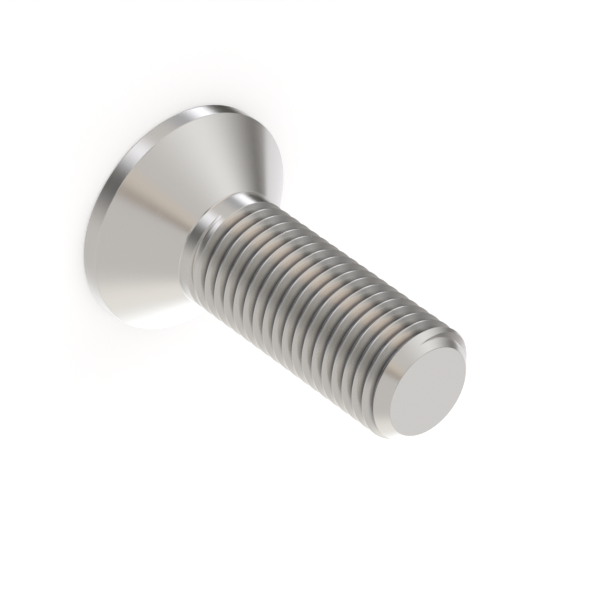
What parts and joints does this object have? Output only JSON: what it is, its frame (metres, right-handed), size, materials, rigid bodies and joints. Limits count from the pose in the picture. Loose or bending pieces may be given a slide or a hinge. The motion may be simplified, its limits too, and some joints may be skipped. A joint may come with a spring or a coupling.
{
  "type": "countersunk socket screw",
  "caption": "Countersunk screw: flat head with a conical seat and a hexagon socket, a short plain neck and a fine right-hand metric thread with a chamfered point.",
  "frame": {"origin": "centre of the head's flat face, on which the screw stands", "axes": "+Z along the shank's axis from the head to the point; +X towards a corner of the hexagon socket"},
  "size_m": [0.0058, 0.0058, 0.009],
  "materials": {
    "stainless_steel": "satin, turned"
  },
  "bodies": {
    "root": {"screw": "stainless_steel"}
  },
  "joints": []
}
